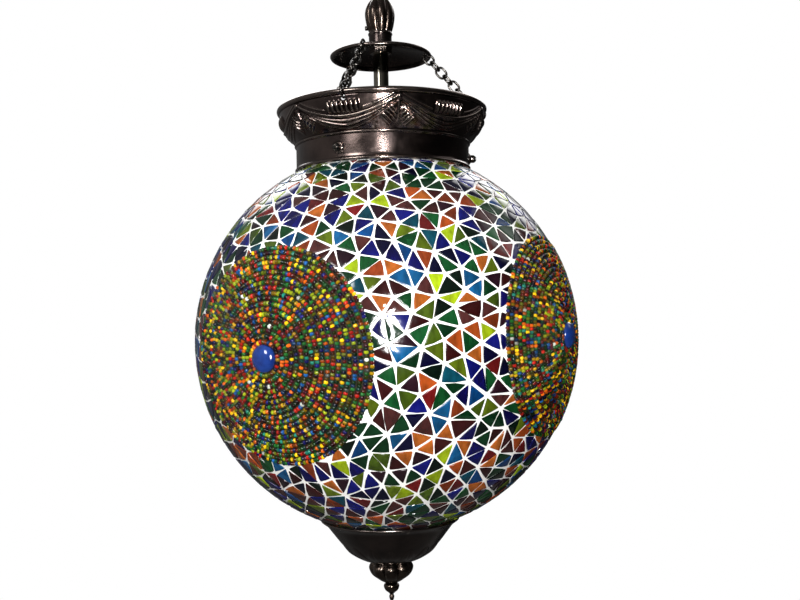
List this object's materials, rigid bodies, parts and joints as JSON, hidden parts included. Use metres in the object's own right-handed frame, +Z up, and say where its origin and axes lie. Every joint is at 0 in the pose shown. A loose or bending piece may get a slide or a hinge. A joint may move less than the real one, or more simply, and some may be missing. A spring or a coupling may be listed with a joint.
{
  "type": "pendant lamp",
  "caption": "Hanging lamp with a glass mosaic globe and bead medallions, a chased metal collar on three chains under a disc, a tube with a bulb holder, and a cup with a finial below.",
  "frame": {"origin": "centre of the bore of the hanging eye at the top", "axes": "+Z up along the lamp's axis, -Y towards the front, +Y along the eye's bore"},
  "size_m": [0.2515, 0.2514, 0.4205],
  "materials": {
    "bronze": "dark antique bronze, brushed, satin",
    "tube_metal": "dark antique bronze, polished",
    "chain_metal": "dark antique bronze, satin",
    "screw_steel": "blackened",
    "plated_steel": "zinc plated",
    "brass": "plain",
    "aluminium": "bright",
    "bush_rubber": "matt",
    "core_brown": "insulation",
    "core_blue": "insulation",
    "holder_phenolic": "moulded",
    "bulb_glass": "clear",
    "globe_glass": "clear blown glass",
    "grout": "matt white grout",
    "tiles": "glossy stained glass, many colours",
    "beads": "glossy seed beads, many colours",
    "cabochon": "glossy blue glass"
  },
  "bodies": {
    "hanger": {"hanging_eye": "bronze", "fluted_knob": "bronze", "knob_set_screw": "screw_steel", "knob_neck": "bronze", "cable_bush": "bush_rubber", "suspension_tube": "tube_metal", "core_line": "core_brown", "core_neutral": "core_blue", "canopy_disc": "bronze", "disc_lock_nut": "bronze", "holder_lock_nut": "plated_steel", "holder_cap": "bronze", "holder_body": "holder_phenolic", "holder_screw_shell": "brass", "centre_contact": "brass", "terminal_blocks": "brass", "terminal_screws": "plated_steel"},
    "chain_1_body": {"chain_1": "chain_metal"},
    "chain_2_body": {"chain_2": "chain_metal"},
    "chain_3_body": {"chain_3": "chain_metal"},
    "bulb": {"bulb_cap": "aluminium", "bulb_contact": "plated_steel", "bulb_glass": "bulb_glass", "bulb_stem": "bulb_glass"},
    "lamp_body": {"collar": "bronze", "screw_bosses": "bronze", "globe_glass": "globe_glass", "grout_layer": "grout", "tile_field": "tiles", "medallion_1": "beads", "medallion_2": "beads", "medallion_3": "beads", "medallion_4": "beads", "cabochon_1": "cabochon", "cabochon_2": "cabochon", "cabochon_3": "cabochon", "cabochon_4": "cabochon", "bottom_cup": "bronze", "cup_gasket": "bush_rubber", "threaded_rod": "plated_steel", "inner_washer": "bush_rubber", "clamp_plate": "plated_steel", "clamp_nut": "plated_steel"},
    "screw_1": {"thumb_screw_1": "screw_steel"},
    "screw_2": {"thumb_screw_2": "screw_steel"},
    "screw_3": {"thumb_screw_3": "screw_steel"},
    "finial": {"finial_ball": "bronze", "finial_tip": "bronze"}
  },
  "joints": [
    {"name": "globe_swing", "type": "hinge", "parent": "hanger", "child": "lamp_body", "pos_m": [0, 0, -0.0162], "axis": [0, 1, 0], "range_deg": [-5, 5]},
    {"name": "chain_1_swing", "type": "hinge", "parent": "hanger", "child": "chain_1_body", "pos_m": [-0.01125, -0.03092, -0.0511], "axis": [0, 1, 0], "range_deg": [-10, 10]},
    {"name": "chain_2_swing", "type": "hinge", "parent": "hanger", "child": "chain_2_body", "pos_m": [0.0324, 0.00571, -0.0511], "axis": [0, 1, 0], "range_deg": [-10, 10]},
    {"name": "chain_3_swing", "type": "hinge", "parent": "hanger", "child": "chain_3_body", "pos_m": [-0.02115, 0.0252, -0.0511], "axis": [0, 1, 0], "range_deg": [-10, 10]},
    {"name": "bulb_turn", "type": "hinge", "parent": "hanger", "child": "bulb", "pos_m": [0, 0, -0.16], "axis": [0, 0, 1], "continuous": true},
    {"name": "thumb_screw_1_slide", "type": "slide", "parent": "lamp_body", "child": "screw_1", "axis": [-0.4695, -0.8829, 0], "range_m": [0, 0.004]},
    {"name": "thumb_screw_2_slide", "type": "slide", "parent": "lamp_body", "child": "screw_2", "axis": [0.9994, 0.0349, 0], "range_m": [0, 0.004]},
    {"name": "thumb_screw_3_slide", "type": "slide", "parent": "lamp_body", "child": "screw_3", "axis": [-0.5299, 0.848, 0], "range_m": [0, 0.004]},
    {"name": "finial_turn", "type": "hinge", "parent": "lamp_body", "child": "finial", "pos_m": [0, 0, -0.39], "axis": [0, 0, 1], "continuous": true}
  ],
  "couplings": [
    {"joint": "chain_1_swing", "follows": "globe_swing", "ratio": 1.9509},
    {"joint": "chain_2_swing", "follows": "globe_swing", "ratio": 1.9509},
    {"joint": "chain_3_swing", "follows": "globe_swing", "ratio": 1.9509}
  ]
}
